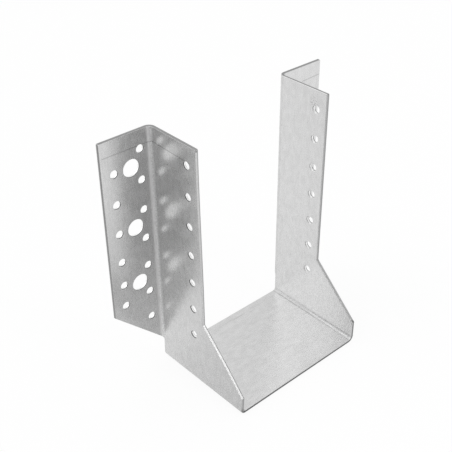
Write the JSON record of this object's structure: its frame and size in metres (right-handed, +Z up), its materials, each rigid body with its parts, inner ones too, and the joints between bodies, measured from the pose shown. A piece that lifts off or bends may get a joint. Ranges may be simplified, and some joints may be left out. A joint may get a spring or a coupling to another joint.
{
  "type": "joist hanger",
  "caption": "Folded steel joist hanger: a level seat between side plates holds a joist's end, and outward flanges with nail and bolt holes fix it to the face of a header.",
  "frame": {"origin": "under the middle of the seat: midway between the side plates, and midway between the header plane and the front edge of the seat, at the height of the seat's underside", "axes": "+X runs across the joist to the right, +Y along the joist into the header, +Z up"},
  "size_m": [0.173, 0.0764, 0.17],
  "materials": {
    "galvanised_steel": "hot-dip galvanised sheet, satin, with faint spangle and rolling grain"
  },
  "bodies": {
    "root": {"hanger": "galvanised_steel"}
  },
  "joints": []
}
